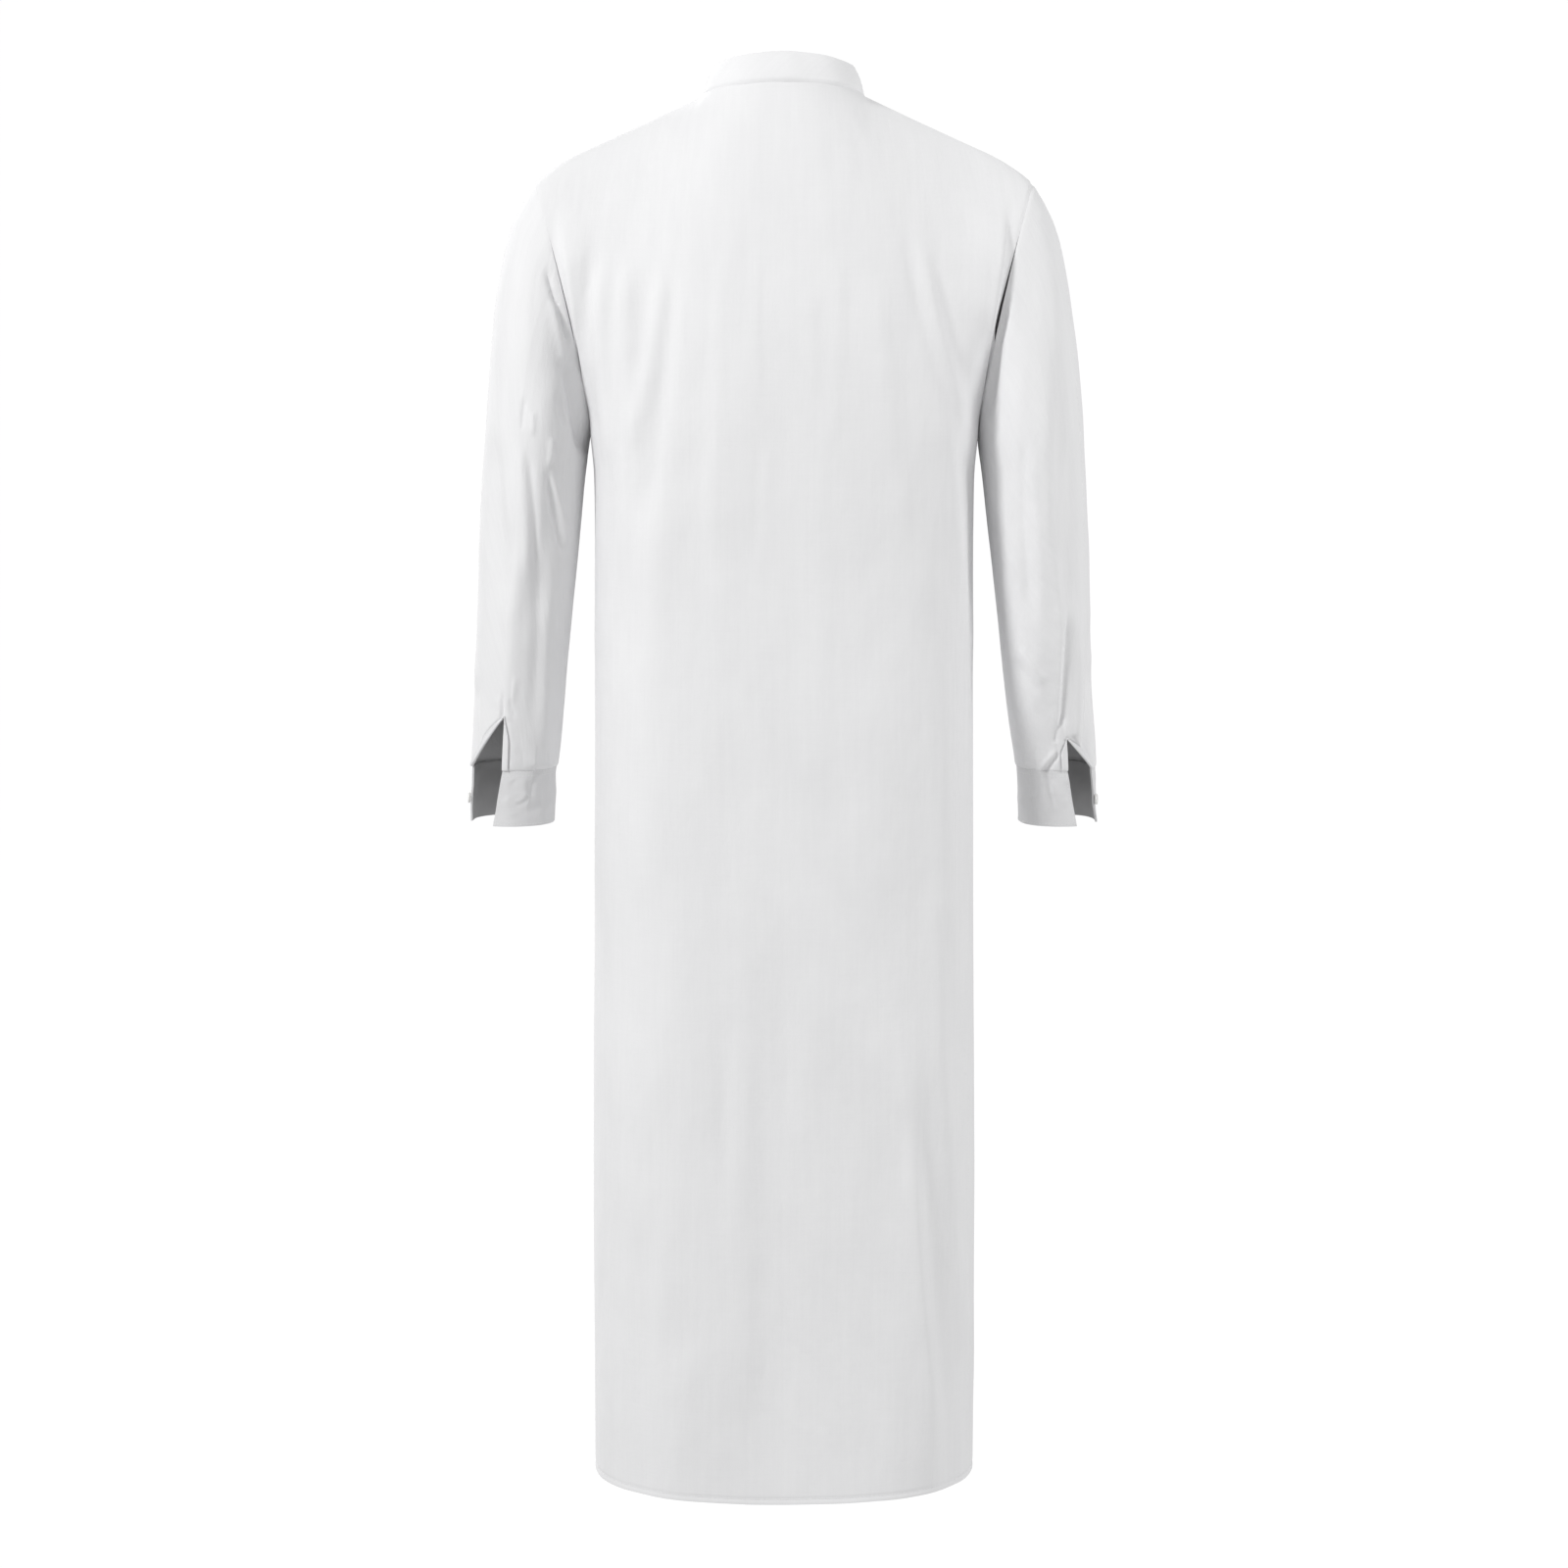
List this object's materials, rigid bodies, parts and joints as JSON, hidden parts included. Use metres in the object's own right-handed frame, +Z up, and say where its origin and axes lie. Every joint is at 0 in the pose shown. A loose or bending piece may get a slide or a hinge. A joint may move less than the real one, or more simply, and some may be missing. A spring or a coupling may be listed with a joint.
{
  "type": "kaftan",
  "caption": "Long straight white kaftan, worn, with a band collar and set-in sleeves whose slit cuffs stand open.",
  "frame": {"origin": "between the two neck points of the shoulders, where the wearer carries the garment", "axes": "+Z up, the front faces -Y, the wearer's left is +X"},
  "size_m": [0.6055, 0.2797, 1.3458],
  "materials": {
    "cloth": "plain woven white cotton, matt",
    "band": "the same cotton, folded and stitched",
    "pearl": "white pearl-like resin"
  },
  "bodies": {
    "root": {"back": "cloth", "front": "cloth", "sleeve_left": "cloth", "sleeve_right": "cloth", "cuff_left": "band", "cuff_right": "band", "binding_left_near": "band", "binding_left_far": "band", "binding_right_near": "band", "binding_right_far": "band", "collar": "band", "placket": "band", "button_1": "pearl", "button_2": "pearl", "button_3": "pearl", "button_4": "pearl", "cuff_button_left": "pearl", "cuff_button_right": "pearl"}
  },
  "joints": []
}
